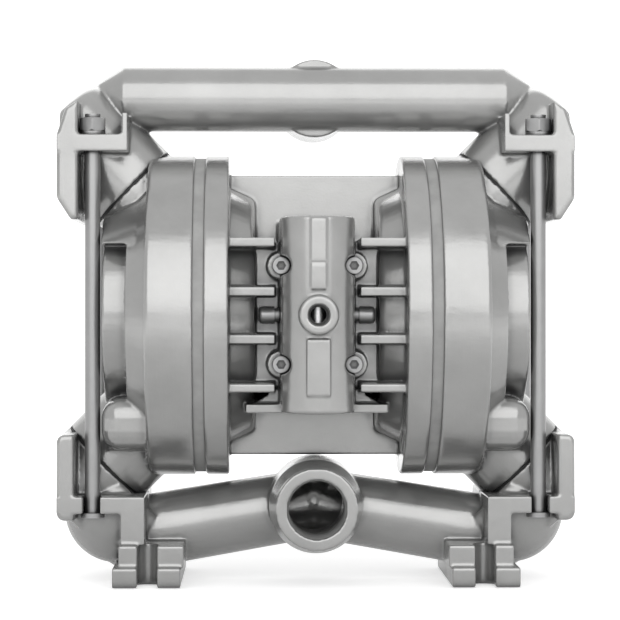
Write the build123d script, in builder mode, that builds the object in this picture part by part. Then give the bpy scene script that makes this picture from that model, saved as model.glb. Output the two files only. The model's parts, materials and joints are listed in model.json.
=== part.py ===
"""Air operated double diaphragm pump in cast metal, as separate pieces in their working places.

X runs from chamber to chamber, the front with the air valve faces -Y and Z is up. The origin is at floor level, in
the middle of the four foot slots. All sizes are in millimetres. Mirrored pieces are built on the right (+X).
"""
from build123d import *
import math
import os

# Clearances
running_gap = 0.05          # shafts and pistons in their bores, radial
seat_gap = 0.05             # parts pushed or screwed into a bore, radial
bolt_gap = 0.35             # screws and rods in clearance holes, radial
ball_guide_gap = 0.6        # ball to the ribs of its cage, radial

# Chambers, all turned about one axis along X
rim_ground_gap = 54.9       # floor to the lowest point of the rims
rim_radius = 84.1
air_rim_x = 44.8            # inner face of the air chamber rim
air_rim_width = 12.3
diaphragm_rim_thickness = 5.5
groove_depth = 1.3          # how far the diaphragm edge lies below the rims
water_rim_width = 24.0
rim_round = 2.5
rim_chamfer = 0.6
cone_length = 10.4
cone_setback = 14.1         # rim to cone, in radius
cone_drop = 10.0            # fall of the cone, in radius
end_boss_setback = 12.0     # cone to end boss, in radius
end_boss_length = 12.5
end_boss_round = 3.0
chamber_wall = 6.0
clamp_land = 17.5           # width of the ring that grips the diaphragm

# Centre section
hub_radius = 34.0
dome_back_x = 31.6
dome_rim_setback = 17.1     # rim to dome, in radius
dome_drop = 6.0             # fall of the dome, in radius
dome_lip_round = 4.5
dish_wall = 5.4
web_setback = 10.1          # rims to the ends of the web
web_front_y = 0.0
web_thickness = 8.0
rib_offsets = (12.0, 36.5)
rib_thickness = 4.5
rib_setback = 12.1          # front of the ribs, behind the front of the rims
rib_inner_x = 21.5
shelf_drop = 47.5
shelf_half_width = 36.0
shelf_setback = 4.0         # sloping face above the shelf, behind the column face
panel_setback = 6.5         # face between the ribs, behind the column face
column_half_width = 19.0
column_setback = 28.1       # front of the column, behind the front of the rims
exhaust_boss_radius = 15.0
exhaust_boss_setback = 36.1 # face of the boss, inside the back of the rims
exhaust_hole_radius = 8.6
exhaust_hole_depth = 16.0
passage_radius = 3.5
cross_passage_depth = 12.0  # behind the column face
plug_gap = 0.3              # plug to the face behind it

# Chamber screws
chamber_screw_count = 6
chamber_screw_setback = 8.5 # rim to screw axis, in radius
chamber_screw_radius = 4.0
chamber_screw_head_radius = 6.2
chamber_screw_head_height = 6.0
chamber_screw_grip = 16.0   # thread inside the water chamber rim
hex_socket_share = 0.55     # socket width over head diameter

# Shaft, diaphragm plates and diaphragms
shaft_radius = 9.5
stud_radius = 6.0
stroke = 9.0                # to each side of the middle
diaphragm_thickness = 4.0
convolution_inner_radius = 40.0
convolution_rise = 6.0
inner_plate_radius = 38.0
inner_plate_thickness = 6.0
outer_plate_radius = 36.0
outer_plate_rim = 3.0
outer_plate_height = 15.0
outer_plate_nose_radius = 14.0
outer_plate_nose_flare = 4.0
stud_engagement = 10.5
bushing_wall = 3.5
bushing_length = 14.0
shaft_seal_width = 5.5

# Valve joints: 45 degree planes between the water chambers and the manifolds
neck_radius = 26.5
upper_seam_out = 9.0        # from the outer face of the water chamber rim
upper_seam_inset = 17.3     # below the top of the rims
lower_seam_out = 23.5
lower_seam_inset = 6.7      # above the bottom of the rims
joint_gasket_thickness = 0.8
joint_gasket_width = 4.0
upper_neck_length = 20.0
lower_neck_length = 32.0
neck_passage_radius = 14.0
neck_pad_proud = 1.5        # cast pads on the front and rear of the necks
upper_pad_out = 17.0        # from the outer face of the water chamber rim
upper_pad_drop = 30.3       # lower edge, below the upper seam centre
upper_pad_height = 13.0
lower_pad_out = 21.0
lower_pad_rise = 7.7        # lower edge, above the lower seam centre
lower_pad_height = 11.0
neck_clearance = 0.8        # round a neck, where its neighbour is cut away for it

# Balls, seats and cages
ball_radius = 14.0
ball_lift = 8.0
seat_bore_radius = 10.5
seat_setback = 4.7          # neck to seat, in radius
seat_thickness = 6.0
cage_channel = 5.0          # room for the flow round the ball
cage_rib_width = 4.0
cage_rib_count = 4
cage_stop_thickness = 4.5
cage_stop_radius = 6.0

# Clamp rods and the lugs that they pull together
rod_out = 4.9               # from the lower seam centre, outward
rod_off_neck = 8.0          # side of the neck to the rod axis
rod_radius = 3.97
rod_end_above_nut = 2.0
nut_width = 12.7
nut_height = 6.9
washer_radius = 6.6
washer_thickness = 1.8
rod_head_radius = 6.2
rod_head_thickness = 2.4
lug_overhang = 9.5          # rod axis to the end of the lug
lug_end_gap = 0.4           # washer to the outer wall of the lug
lug_wall = 10.9
lug_inboard = 18.2          # from the rod to the inner end of the lug plate
upper_lug_rise = 17.1       # above the upper seam centre
upper_lug_thickness = 8.8
upper_lug_rib_height = 19.6
upper_lug_rib_thickness = 2.7
upper_wall_drop = 17.8      # below the upper seam centre
lower_lug_drop = 24.4       # below the lower seam centre
lower_lug_thickness = 8.8
lower_wall_drop = 28.0      # below the lower seam centre
lower_wall_rise = 16.2      # above the lower seam centre
lower_wall_out = 2.0        # outside the upper wall's inner face
lower_lug_overlap = 4.0
lug_corner_round = 4.0
lug_edge_round = 2.0

# Discharge manifold
top_pipe_rise = 47.6        # above the upper seam centre
top_pipe_radius = 17.3
top_pipe_end_out = 5.0      # pipe end, from the upper seam centre outward
top_pipe_nose_length = 21.3 # tapered nose of the pipe inside the elbow
top_pipe_nose_radius = 2.9
top_pipe_bore_radius = 12.0
top_pipe_bore_out = 10.4
upper_elbow_length = 54.0
upper_elbow_round = 8.0
upper_cage_length = 42.0
outlet_boss_radius = 20.5
outlet_boss_y = 38.0
outlet_boss_start_y = -6.0
outlet_hole_radius = 12.2
outlet_thread_depth = 18.0

# Inlet manifold and feet
inlet_drop = 21.1           # below the lower seam centre
inlet_face_y = -60.0
inlet_face_radius = 21.0
inlet_collar_length = 6.0
inlet_flare_y = -38.0
inlet_flare_radius = 24.2
inlet_back_y = 18.0
inlet_back_round = 6.0
inlet_hole_radius = 15.1
inlet_thread_depth = 24.0
inlet_passage_radius = 14.2
inlet_passage_y = 6.0
bottom_pipe_start_radius = 18.5
bottom_pipe_start_drop = 1.0
bottom_pipe_end_radius = 19.5
bottom_pipe_end_in = 14.0   # pipe end, from the lower seam centre inward
bottom_pipe_end_drop = 38.1 # below the lower seam centre
bottom_pipe_bore_radius = 13.5
lower_elbow_length = 33.0
lower_elbow_round = 4.0
lower_bend_radius = 27.9
lower_bend_in = 6.1         # centre of the round bend, from the lower seam centre inward
lower_bend_drop = 25.6      # and below it
foot_in = 5.8               # outer side of the foot, from the lower seam centre inward
foot_width = 34.9
foot_half_depth = 50.0
foot_pad_height = 10.0
foot_block_height = 21.3
foot_block_inset = 1.6
foot_block_setback = 2.5
foot_column_width = 12.0
foot_column_inset = 4.3     # from the outer side of the foot
foot_shoulder_inset = 3.3
foot_slot_in = 23.7         # from the lower seam centre inward
foot_slot_width = 10.0
foot_slot_depth = 17.0

# Air valve
valve_half_width = 18.5
valve_drop = 49.0           # below the chamber axis
valve_height = 98.0
valve_gasket_thickness = 0.6
valve_back_wall = 4.5
valve_bore_radius = 11.0
valve_edge_round = 1.2
valve_rib_half_width = 3.8
valve_rib_proud = 0.6
valve_rib_length = 35.0
valve_rib_notch = 1.2
valve_rib_notch_drop = 22.0
valve_pad_half_width = 5.9
valve_pad_length = 28.0
valve_pad_bottom = 9.0
air_boss_radius = 9.7
air_boss_length = 6.4
air_hole_radius = 5.5
air_thread_depth = 11.0
air_passage_radius = 4.0
valve_screw_x = 18.3
valve_screw_dz = 24.8
valve_screw_radius = 2.4
valve_screw_head_radius = 4.6
valve_screw_head_height = 5.0
valve_screw_grip = 12.0
valve_ear_radius = 6.8
valve_ear_thickness = 9.4
piston_travel = 12.0
piston_land = 12.0
piston_waist_radius = 7.0
cap_thickness = 6.0
ring_thickness = 1.2
ring_radial = 1.4
ring_inset = 3.0
plug_radius = 4.4
plug_length = 8.0
plug_end_round = 2.0

# Places that follow from the sizes above
chamber_axis_z = rim_ground_gap + rim_radius
cone_base_radius = rim_radius - cone_setback
cone_top_radius = cone_base_radius - cone_drop
end_boss_radius = cone_top_radius - end_boss_setback
dome_rim_radius = rim_radius - dome_rim_setback
dome_corner_radius = dome_rim_radius - dome_drop
web_half_height = rim_radius - web_setback
rib_front_y = rib_setback - rim_radius
column_front_y = column_setback - rim_radius
cross_passage_y = column_front_y + cross_passage_depth
shelf_face_y = column_front_y + shelf_setback
panel_front_y = column_front_y + panel_setback
plug_y = panel_front_y - plug_radius - plug_gap
shelf_z = chamber_axis_z - shelf_drop
exhaust_boss_y = rim_radius - exhaust_boss_setback
chamber_screw_circle_radius = rim_radius - chamber_screw_setback
air_rim_end_x = air_rim_x + air_rim_width
water_rim_x = air_rim_end_x + diaphragm_rim_thickness
water_rim_end_x = water_rim_x + water_rim_width
cone_end_x = water_rim_end_x + cone_length
end_boss_x = cone_end_x + end_boss_length
diaphragm_radius = rim_radius - groove_depth
land_radius = rim_radius - clamp_land
diaphragm_x = air_rim_end_x + diaphragm_rim_thickness / 2
plate_face_in = diaphragm_x - diaphragm_thickness / 2
plate_face_out = diaphragm_x + diaphragm_thickness / 2
shaft_shoulder_x = plate_face_in - inner_plate_thickness
dish_floor_x = dome_back_x + dish_wall
upper_seam_x = water_rim_end_x + upper_seam_out
upper_seam_z = chamber_axis_z + rim_radius - upper_seam_inset
lower_seam_x = water_rim_end_x + lower_seam_out
lower_seam_z = chamber_axis_z - rim_radius + lower_seam_inset
seat_outer_radius = neck_radius - seat_setback
cage_bore_radius = ball_radius + cage_channel
half_joint = joint_gasket_thickness / 2
seat_floor = half_joint - seat_thickness
ball_rest = half_joint + math.sqrt(ball_radius**2 - seat_bore_radius**2) + running_gap
cage_stop = ball_rest + ball_radius + ball_lift + running_gap
cage_end = cage_stop + cage_stop_thickness
rod_x = lower_seam_x + rod_out
rod_y = neck_radius + rod_off_neck
lug_half_depth = rod_y + lug_overhang
lug_wall_x = rod_x + washer_radius + lug_end_gap
lug_end_x = lug_wall_x + lug_wall
upper_lug_z = upper_seam_z + upper_lug_rise
upper_wall_bottom_z = upper_seam_z - upper_wall_drop
upper_lug_top_z = upper_lug_z + upper_lug_thickness
lower_lug_z = lower_seam_z - lower_lug_drop
lower_wall_bottom_z = lower_seam_z - lower_wall_drop
lower_wall_top_z = lower_seam_z + lower_wall_rise
lower_lug_top_z = lower_lug_z + lower_lug_thickness
bolt_hole_radius = rod_radius + bolt_gap
top_pipe_z = upper_seam_z + top_pipe_rise
inlet_z = lower_seam_z - inlet_drop
bottom_pipe_end_z = lower_seam_z - bottom_pipe_end_drop
foot_outer_x = lower_seam_x - foot_in
foot_inner_x = foot_outer_x - foot_width
foot_slot_x = lower_seam_x - foot_slot_in
valve_bottom_z = chamber_axis_z - valve_drop
column_bottom_z = valve_bottom_z
column_top_z = valve_bottom_z + valve_height
bushing_end_x = dish_floor_x
bushing_start_x = bushing_end_x - bushing_length
housing_bore_radius = shaft_radius + running_gap + bushing_wall
valve_back_y = column_front_y - valve_gasket_thickness
valve_ear_front_y = valve_back_y - valve_ear_thickness
valve_bore_y = valve_back_y - valve_back_wall - valve_bore_radius
valve_front_y = valve_bore_y - valve_half_width
valve_top_z = valve_bottom_z + valve_height
air_boss_face_y = valve_front_y - air_boss_length
screw_places = [(x * valve_screw_x, z * valve_screw_dz) for x in (-1, 1) for z in (-1, 1)]

# Reference planes and axes
chamber_axis = Axis((0, 0, chamber_axis_z), (1, 0, 0))
chamber_plane = Plane(origin=(0, 0, chamber_axis_z), x_dir=(1, 0, 0), z_dir=(0, -1, 0))
upper_valve = Plane(origin=(upper_seam_x, 0, upper_seam_z), x_dir=(0, 1, 0), z_dir=(1, 0, 1))
lower_valve = Plane(origin=(lower_seam_x, 0, lower_seam_z), x_dir=(0, 1, 0), z_dir=(-1, 0, 1))
valve_axis = Axis((0, valve_bore_y, 0), (0, 0, 1))
valve_section = Plane(origin=(0, valve_bore_y, 0), x_dir=(1, 0, 0), z_dir=(0, -1, 0))

os.makedirs("parts", exist_ok=True)


def write(piece, name):
    """Label a finished piece and write its STEP file."""
    piece.label = name
    export_step(piece, f"parts/{name}.step")


def write_pair(piece, name):
    """Write a right-hand piece and its mirror image."""
    with BuildPart() as other:
        mirror(piece, about=Plane.YZ)
    write(piece, f"{name}_right")
    write(other.part, f"{name}_left")


def outline(plane, points):
    """Closed face through points of a plane."""
    with BuildSketch(plane) as face:
        with BuildLine():
            Polyline(*points, close=True)
        make_face()
    return face.sketch


def disc(plane, radius, inner_radius=0):
    """Round or ring-shaped face on a plane."""
    with BuildSketch(plane) as face:
        Circle(radius)
        if inner_radius > 0:
            Circle(inner_radius, mode=Mode.SUBTRACT)
    return face.sketch


def along_x(x, y=0.0, z=chamber_axis_z):
    """Plane at x that faces +X."""
    return Plane(origin=(x, y, z), x_dir=(0, 1, 0), z_dir=(1, 0, 0))


def facing_front(y, x=0.0, z=0.0):
    """Plane at y that faces -Y, with x to the right and z up."""
    return Plane(origin=(x, y, z), x_dir=(1, 0, 0), z_dir=(0, -1, 0))


def block(x_range, y_range, z_range):
    """Box between two corners, as a separate solid."""
    size = [high - low for low, high in (x_range, y_range, z_range)]
    middle = [(high + low) / 2 for low, high in (x_range, y_range, z_range)]
    with BuildPart() as box:
        with Locations(tuple(middle)):
            Box(*size)
    return box.part


def lug_wall_part(points):
    """Upright outer wall of a pair of lugs, from its outline in the XZ plane, with rounded edges."""
    with BuildPart() as wall:
        with BuildSketch(Plane.XZ) as face:
            with BuildLine():
                Polyline(*points, close=True)
            make_face()
            outer = face.vertices().group_by(Axis.X)[-1]
            fillet(outer, lug_corner_round)
        extrude(amount=lug_half_depth, both=True)
        ends = wall.faces().filter_by(Axis.Y)
        fillet(ends.edges(), lug_edge_round)
    return wall.part


def cage_ribs(plane):
    """Guide ribs of a ball cage, with hooks at their far ends that stop the ball."""
    reach = cage_bore_radius + ball_guide_gap
    guide_radius = ball_radius + ball_guide_gap
    with BuildPart() as ribs:
        for turn in range(cage_rib_count):
            angle = math.radians((turn + 0.5) * 360 / cage_rib_count)
            radial = plane.x_dir * math.cos(angle) + plane.y_dir * math.sin(angle)
            section = Plane(origin=plane.origin, x_dir=radial, z_dir=radial.cross(plane.z_dir))
            with BuildSketch(section):
                with BuildLine():
                    Polyline(
                        (guide_radius, half_joint),
                        (reach, half_joint),
                        (reach, cage_end),
                        (cage_stop_radius, cage_end),
                        (cage_stop_radius, cage_stop),
                        (guide_radius, cage_stop),
                        close=True,
                    )
                make_face()
            extrude(amount=cage_rib_width / 2, both=True)
    return ribs.part


# Centre section: both air chambers, the web plate, ribs, shelf and valve column in one casting
dome_outline = [
    (0, 0),
    (0, hub_radius),
    (dome_back_x, hub_radius),
    (dome_back_x, dome_corner_radius),
    (air_rim_x, dome_rim_radius),
    (air_rim_x, rim_radius),
    (air_rim_end_x, rim_radius),
    (air_rim_end_x, 0),
]
dish_outline = [
    (dish_floor_x, 0),
    (dish_floor_x, dome_corner_radius - 2 * dish_wall),
    (air_rim_x, dome_rim_radius - 1.3 * dish_wall),
    (air_rim_end_x, land_radius),
    (air_rim_end_x, 0),
]
with BuildPart() as centre_section:
    with BuildSketch(chamber_plane) as dome_face:
        with BuildLine():
            Polyline(*dome_outline, close=True)
        make_face()
        lip = dome_face.vertices().sort_by_distance((dome_back_x, dome_corner_radius))[0]
        fillet(lip, dome_lip_round)
        rim_corners = dome_face.vertices().group_by(Axis.Y)[-1]
        chamfer(rim_corners, rim_chamfer)
    revolve(axis=chamber_axis)
    mirror(about=Plane.YZ)
    add(block((-air_rim_x, air_rim_x), (web_front_y, web_front_y + web_thickness),
              (chamber_axis_z - web_half_height, chamber_axis_z + web_half_height)))
    add(block((-column_half_width, column_half_width), (column_front_y, web_front_y),
              (column_bottom_z, column_top_z)))
    for x, z in screw_places:
        with BuildSketch(facing_front(column_front_y, x, chamber_axis_z + z)):
            Circle(valve_ear_radius)
        extrude(amount=column_front_y)
    for side in (-1, 1):
        for offset in rib_offsets:
            for turn in (-1, 1):
                rib_z = chamber_axis_z + turn * offset
                near, far = sorted((side * rib_inner_x, side * (air_rim_x + air_rim_width / 2)))
                add(block((near, far), (rib_front_y, web_front_y),
                          (rib_z - rib_thickness / 2, rib_z + rib_thickness / 2)))
    add(block((-dome_back_x, dome_back_x), (panel_front_y, web_front_y),
              (chamber_axis_z - max(rib_offsets), chamber_axis_z + max(rib_offsets))))
    add(block((-shelf_half_width, shelf_half_width), (column_front_y, web_front_y),
              (shelf_z - rib_thickness / 2, shelf_z + rib_thickness / 2)))
    skirt = outline(facing_front(shelf_face_y, z=shelf_z), [
        (-shelf_half_width, 0),
        (shelf_half_width, 0),
        (column_half_width, shelf_drop - max(rib_offsets)),
        (-column_half_width, shelf_drop - max(rib_offsets)),
    ])
    extrude(skirt, amount=shelf_face_y)
    with BuildSketch(facing_front(0, 0, chamber_axis_z)):
        Circle(exhaust_boss_radius)
    extrude(amount=-exhaust_boss_y)
    for side in (-1, 1):
        points = [(side * x, y) for x, y in dish_outline]
        revolve(outline(chamber_plane, points), axis=chamber_axis, mode=Mode.SUBTRACT)
    extrude(disc(along_x(0), housing_bore_radius), amount=dish_floor_x, both=True, mode=Mode.SUBTRACT)
    for side in (-1, 1):
        screw_plane = along_x(side * air_rim_x)
        with BuildSketch(screw_plane):
            with PolarLocations(chamber_screw_circle_radius, chamber_screw_count):
                Circle(chamber_screw_radius + bolt_gap)
        extrude(amount=side * air_rim_width, mode=Mode.SUBTRACT)
        with BuildSketch(screw_plane):
            with PolarLocations(chamber_screw_circle_radius, chamber_screw_count):
                Circle(chamber_screw_head_radius + bolt_gap)
        extrude(amount=side * (chamber_screw_head_height + bolt_gap), mode=Mode.SUBTRACT)
        cross = along_x(side * column_half_width / 2, cross_passage_y)
        extrude(disc(cross, passage_radius), amount=side * (dish_floor_x - column_half_width / 2 + 1),
                mode=Mode.SUBTRACT)
        with BuildSketch(facing_front(column_front_y, side * column_half_width / 2, chamber_axis_z)):
            Circle(passage_radius)
        extrude(amount=column_front_y - cross_passage_y, mode=Mode.SUBTRACT)
    with BuildSketch(facing_front(exhaust_boss_y, 0, chamber_axis_z)):
        Circle(exhaust_hole_radius)
    extrude(amount=exhaust_hole_depth, mode=Mode.SUBTRACT)
    for x, z in screw_places:
        with BuildSketch(facing_front(column_front_y, x, chamber_axis_z + z)):
            Circle(valve_screw_radius + seat_gap)
        extrude(amount=-valve_screw_grip - seat_gap, mode=Mode.SUBTRACT)
write(centre_section.part, "centre_section")

# Water chamber: rim, cone and end boss turned about the chamber axis, with an outlet and an inlet neck
shell_outline = [
    (water_rim_x, 0),
    (water_rim_x, rim_radius),
    (water_rim_end_x, rim_radius),
    (water_rim_end_x, cone_base_radius),
    (cone_end_x, cone_top_radius),
    (cone_end_x, end_boss_radius),
    (end_boss_x, end_boss_radius),
    (end_boss_x, 0),
]
cavity_outline = [
    (water_rim_x, 0),
    (water_rim_x, land_radius),
    (water_rim_end_x, cone_base_radius - 1.7 * chamber_wall),
    (cone_end_x, end_boss_radius - chamber_wall),
    (end_boss_x - chamber_wall, end_boss_radius - chamber_wall),
    (end_boss_x - chamber_wall, 0),
]
with BuildPart() as water_chamber:
    with BuildSketch(chamber_plane) as shell_face:
        with BuildLine():
            Polyline(*shell_outline, close=True)
        make_face()
        corners = shell_face.vertices()
        rim_corner = corners.sort_by_distance((water_rim_end_x, rim_radius))[0]
        boss_corner = corners.sort_by_distance((end_boss_x, end_boss_radius))[0]
        fillet(rim_corner, rim_round)
        fillet(boss_corner, end_boss_round)
    revolve(axis=chamber_axis)
    extrude(disc(upper_valve.offset(-half_joint), neck_radius), amount=-upper_neck_length)
    extrude(disc(lower_valve.offset(half_joint), neck_radius), amount=lower_neck_length)
    split(bisect_by=Plane.YZ.offset(water_rim_x), keep=Keep.TOP)
    pad_reach = neck_radius + neck_pad_proud
    add(block((water_rim_end_x - rim_round, water_rim_end_x + upper_pad_out), (-pad_reach, pad_reach),
              (upper_seam_z - upper_pad_drop, upper_seam_z - upper_pad_drop + upper_pad_height)))
    add(block((water_rim_end_x - rim_round, water_rim_end_x + lower_pad_out), (-pad_reach, pad_reach),
              (lower_seam_z + lower_pad_rise, lower_seam_z + lower_pad_rise + lower_pad_height)))
    extrude(disc(upper_valve.offset(-half_joint), neck_radius + neck_clearance), amount=upper_neck_length,
            mode=Mode.SUBTRACT)
    revolve(outline(chamber_plane, cavity_outline), axis=chamber_axis, mode=Mode.SUBTRACT)
    extrude(disc(upper_valve.offset(seat_floor), seat_outer_radius + seat_gap), amount=seat_thickness,
            mode=Mode.SUBTRACT)
    extrude(disc(upper_valve.offset(seat_floor), neck_passage_radius), amount=-lower_neck_length,
            mode=Mode.SUBTRACT)
    extrude(disc(lower_valve, cage_bore_radius), amount=cage_end + cage_stop_thickness, mode=Mode.SUBTRACT)
    add(cage_ribs(lower_valve))
    with BuildSketch(along_x(water_rim_x)):
        with PolarLocations(chamber_screw_circle_radius, chamber_screw_count):
            Circle(chamber_screw_radius + seat_gap)
    extrude(amount=chamber_screw_grip + seat_gap, mode=Mode.SUBTRACT)
write_pair(water_chamber.part, "water_chamber")

# Discharge manifold: straight pipe, an elbow with the outlet ball cage at each end, lugs and the outlet boss
upper_wall_outline = [
    (lug_wall_x, upper_wall_bottom_z),
    (lug_wall_x + lug_wall * 0.35, upper_wall_bottom_z),
    (lug_end_x, upper_wall_bottom_z + lug_wall),
    (lug_end_x, upper_lug_top_z),
    (lug_end_x - lug_wall * 0.4, upper_lug_top_z + lug_wall * 1.2),
    (lug_wall_x, upper_lug_top_z + lug_wall * 1.6),
]
upper_lug_inner_x = rod_x - lug_inboard
with BuildPart() as discharge_manifold:
    with BuildPart(mode=Mode.PRIVATE) as upper_elbow:
        extrude(disc(upper_valve.offset(half_joint), neck_radius), amount=upper_elbow_length)
        cap = upper_elbow.faces().sort_by(Axis(upper_valve.origin, upper_valve.z_dir))[-1]
        fillet(cap.edges(), upper_elbow_round)
        split(bisect_by=Plane.YZ.offset(lug_end_x), keep=Keep.BOTTOM)
    add(upper_elbow.part)
    extrude(disc(along_x(0, z=top_pipe_z), top_pipe_radius), amount=upper_seam_x + top_pipe_end_out)
    top_pipe_end = along_x(upper_seam_x + top_pipe_end_out, z=top_pipe_z)
    with BuildSketch(top_pipe_end):
        Circle(top_pipe_radius)
    with BuildSketch(top_pipe_end.offset(top_pipe_nose_length)):
        Circle(top_pipe_nose_radius)
    loft()
    add(block((upper_lug_inner_x, lug_end_x), (-lug_half_depth, lug_half_depth), (upper_lug_z, upper_lug_top_z)))
    add(block((upper_lug_inner_x, upper_lug_inner_x + upper_lug_rib_thickness),
              (-lug_half_depth, lug_half_depth), (upper_lug_z, upper_lug_z + upper_lug_rib_height)))
    add(lug_wall_part(upper_wall_outline))
    mirror(about=Plane.YZ)
    with BuildSketch(facing_front(outlet_boss_start_y, z=top_pipe_z)):
        Circle(outlet_boss_radius)
    extrude(amount=outlet_boss_start_y - outlet_boss_y)
    pipe_bore = disc(along_x(0, z=top_pipe_z), top_pipe_bore_radius)
    extrude(pipe_bore, amount=upper_seam_x + top_pipe_bore_out, both=True, mode=Mode.SUBTRACT)
    with BuildSketch(facing_front(outlet_boss_y, z=top_pipe_z)):
        Circle(outlet_hole_radius)
    extrude(amount=outlet_thread_depth, mode=Mode.SUBTRACT)
    with BuildSketch(facing_front(outlet_boss_y, z=top_pipe_z)):
        Circle(top_pipe_bore_radius - 1)
    extrude(amount=outlet_boss_y, mode=Mode.SUBTRACT)
    with BuildPart(mode=Mode.PRIVATE) as upper_cage:
        extrude(disc(upper_valve, cage_bore_radius), amount=upper_cage_length)
        add(cage_ribs(upper_valve), mode=Mode.SUBTRACT)
        split(bisect_by=Plane.YZ.offset(lug_end_x - chamber_wall), keep=Keep.BOTTOM)
        mirror(about=Plane.YZ)
    add(upper_cage.part, mode=Mode.SUBTRACT)
    for x in (-rod_x, rod_x):
        for y in (-rod_y, rod_y):
            with BuildSketch(Plane(origin=(x, y, upper_lug_z))):
                Circle(bolt_hole_radius)
            extrude(amount=upper_lug_thickness, mode=Mode.SUBTRACT)
write(discharge_manifold.part, "discharge_manifold")

# Inlet manifold: port boss, two sloping pipes, elbows that carry the seats, lugs and columns down to the feet
bottom_pipe_end = Vector(lower_seam_x - bottom_pipe_end_in, 0, bottom_pipe_end_z)
bottom_pipe_start = Vector(0, 0, inlet_z - bottom_pipe_start_drop)
slope = (bottom_pipe_end - bottom_pipe_start).normalized()
lower_wall_outline = [
    (lug_wall_x + lower_wall_out, lower_wall_bottom_z),
    (lug_end_x, lower_wall_bottom_z),
    (lug_end_x, lower_wall_top_z),
    (lug_wall_x + lower_wall_out, lower_wall_top_z),
]
lower_lug_inner_x = foot_outer_x - foot_column_width - lower_lug_overlap
with BuildPart() as bottom_pipe:
    with BuildSketch(Plane(origin=bottom_pipe_start, z_dir=slope)):
        Circle(bottom_pipe_start_radius)
    with BuildSketch(Plane(origin=bottom_pipe_end, z_dir=slope)):
        Circle(bottom_pipe_end_radius)
    loft()
    with Locations(bottom_pipe_end):
        Sphere(bottom_pipe_end_radius)
with BuildPart() as inlet_manifold:
    with BuildPart(mode=Mode.PRIVATE) as lower_elbow:
        extrude(disc(lower_valve.offset(-half_joint), neck_radius), amount=-lower_elbow_length)
        cap = lower_elbow.faces().sort_by(Axis(lower_valve.origin, lower_valve.z_dir))[0]
        fillet(cap.edges(), lower_elbow_round)
        split(bisect_by=Plane.YZ.offset(lug_end_x), keep=Keep.BOTTOM)
    add(lower_elbow.part)
    with BuildPart(mode=Mode.PRIVATE) as lower_bend:
        with Locations((lower_seam_x - lower_bend_in, 0, lower_seam_z - lower_bend_drop)):
            Sphere(lower_bend_radius)
        split(bisect_by=lower_valve.offset(-half_joint), keep=Keep.BOTTOM)
    add(lower_bend.part)
    add(bottom_pipe.part)
    add(block((lower_lug_inner_x, lug_end_x), (-lug_half_depth, lug_half_depth), (lower_lug_z, lower_lug_top_z)))
    add(lug_wall_part(lower_wall_outline))
    add(block((foot_outer_x - foot_column_inset - foot_column_width, foot_outer_x - foot_column_inset),
              (-lug_half_depth, lug_half_depth), (foot_block_height, lower_lug_top_z)))
    extrude(disc(lower_valve.offset(-half_joint), neck_radius + neck_clearance), amount=lower_neck_length,
            mode=Mode.SUBTRACT)
    mirror(about=Plane.YZ)
    boss_profile = [
        (0, inlet_face_y),
        (inlet_face_radius, inlet_face_y),
        (inlet_face_radius, inlet_face_y + inlet_collar_length),
        (inlet_flare_radius, inlet_flare_y),
        (inlet_flare_radius, inlet_back_y - inlet_back_round),
        (inlet_flare_radius - inlet_back_round, inlet_back_y),
        (0, inlet_back_y),
    ]
    revolve(outline(Plane.XY.offset(inlet_z), boss_profile), axis=Axis((0, 0, inlet_z), (0, 1, 0)))
    for side in (-1, 1):
        start = Vector(0, 0, bottom_pipe_start.Z)
        end = Vector(side * bottom_pipe_end.X, 0, bottom_pipe_end.Z)
        run = end - start
        extrude(disc(Plane(origin=start, z_dir=run.normalized()), bottom_pipe_bore_radius), amount=run.length,
                mode=Mode.SUBTRACT)
        with Locations(end):
            Sphere(bottom_pipe_bore_radius, mode=Mode.SUBTRACT)
    with BuildSketch(facing_front(inlet_face_y, z=inlet_z)):
        Circle(inlet_hole_radius)
    extrude(amount=-inlet_thread_depth, mode=Mode.SUBTRACT)
    with BuildSketch(facing_front(inlet_face_y, z=inlet_z)):
        Circle(inlet_passage_radius)
    extrude(amount=inlet_face_y - inlet_passage_y, mode=Mode.SUBTRACT)
    with BuildPart(mode=Mode.PRIVATE) as lower_entry:
        extrude(disc(lower_valve.offset(seat_floor), seat_outer_radius + seat_gap), amount=seat_thickness)
        seat_entry = lower_valve.offset(seat_floor - seat_bore_radius / 2).origin
        with Locations(seat_entry):
            Sphere(seat_bore_radius)
        entry_run = bottom_pipe_end - seat_entry
        extrude(disc(Plane(origin=seat_entry, z_dir=entry_run.normalized()), seat_bore_radius),
                amount=entry_run.length)
        mirror(about=Plane.YZ)
    add(lower_entry.part, mode=Mode.SUBTRACT)
    for x in (-rod_x, rod_x):
        for y in (-rod_y, rod_y):
            outer = math.copysign(lug_half_depth, y)
            low, high = sorted((y, outer))
            add(block((x - bolt_hole_radius, x + bolt_hole_radius), (low, high), (lower_lug_z, lower_lug_top_z)),
                mode=Mode.SUBTRACT)
            with BuildSketch(Plane(origin=(x, y, lower_lug_z))):
                Circle(bolt_hole_radius)
            extrude(amount=lower_lug_thickness, mode=Mode.SUBTRACT)
write(inlet_manifold.part, "inlet_manifold")

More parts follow.
